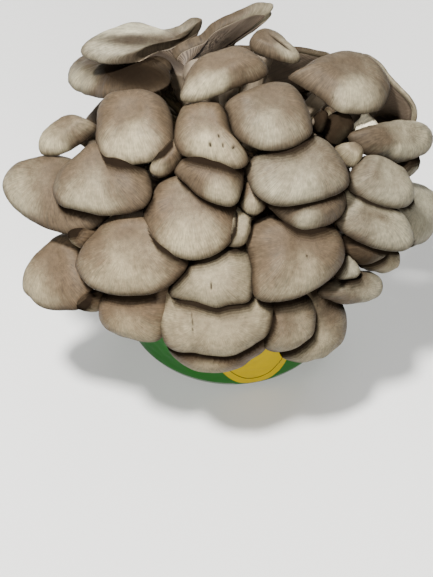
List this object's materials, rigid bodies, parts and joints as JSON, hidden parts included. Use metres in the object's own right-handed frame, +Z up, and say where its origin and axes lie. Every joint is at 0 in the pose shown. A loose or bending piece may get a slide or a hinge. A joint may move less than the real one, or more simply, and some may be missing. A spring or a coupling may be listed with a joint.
{
  "type": "oyster mushroom grow bag",
  "caption": "Round printed grow bag, filled with grown-through substrate, with a dense shingled cluster of grey-brown oyster mushrooms growing out of its mouth.",
  "frame": {"origin": "middle of the bag's flat base, on the surface it stands on", "axes": "+Z up along the bag's axis; -Y is the front, where the cluster hangs out furthest; +X to the viewer's right"},
  "size_m": [0.3622, 0.3319, 0.3585],
  "materials": {
    "printed_film": "satin printed film",
    "substrate": "matt, fibrous",
    "fused_foot": "matt, downy",
    "mushroom": "satin, finely streaked"
  },
  "bodies": {
    "root": {"bag": "printed_film", "cluster_foot": "fused_foot", "mushroom_back_left": "mushroom", "mushroom_back_middle": "mushroom", "mushroom_back_right": "mushroom", "mushroom_back_top_left": "mushroom", "mushroom_back_top_right": "mushroom", "mushroom_back_upper_middle": "mushroom", "mushroom_bottom_centre_large": "mushroom", "mushroom_bottom_left": "mushroom", "mushroom_bottom_right_inner": "mushroom", "mushroom_bottom_right_outer": "mushroom", "mushroom_bottom_shaded": "mushroom", "mushroom_centre_gap_lower": "mushroom", "mushroom_centre_gap_upper": "mushroom", "mushroom_centre_round": "mushroom", "mushroom_centre_spotted": "mushroom", "mushroom_centre_wedge": "mushroom", "mushroom_far_left_large": "mushroom", "mushroom_far_right_round": "mushroom", "mushroom_far_right_shelf": "mushroom", "mushroom_far_right_small": "mushroom", "mushroom_hollow_dark": "mushroom", "mushroom_hollow_small": "mushroom", "mushroom_left_centre_large": "mushroom", "mushroom_left_front_large": "mushroom", "mushroom_left_gap_brown": "mushroom", "mushroom_left_gap_small": "mushroom", "mushroom_left_low_small": "mushroom", "mushroom_left_small_tilted": "mushroom", "mushroom_lower_centre": "mushroom", "mushroom_lower_left": "mushroom", "mushroom_right_centre_large": "mushroom", "mushroom_right_centre_lip": "mushroom", "mushroom_right_gap_small": "mushroom", "mushroom_right_long": "mushroom", "mushroom_right_low_brown": "mushroom", "mushroom_right_low_dark": "mushroom", "mushroom_right_low_grey": "mushroom", "mushroom_right_low_tilted": "mushroom", "mushroom_right_lower_large": "mushroom", "mushroom_right_upper_fan": "mushroom", "mushroom_top_back_wide": "mushroom", "mushroom_top_left_shaded": "mushroom", "mushroom_top_left_wavy": "mushroom", "mushroom_top_right_edge": "mushroom", "mushroom_top_right_large": "mushroom", "mushroom_top_small_curled": "mushroom", "mushroom_top_tall": "mushroom", "mushroom_upper_centre": "mushroom", "mushroom_upper_left_square": "mushroom", "mushroom_upper_right_smooth": "mushroom", "substrate_block": "substrate"}
  },
  "joints": []
}
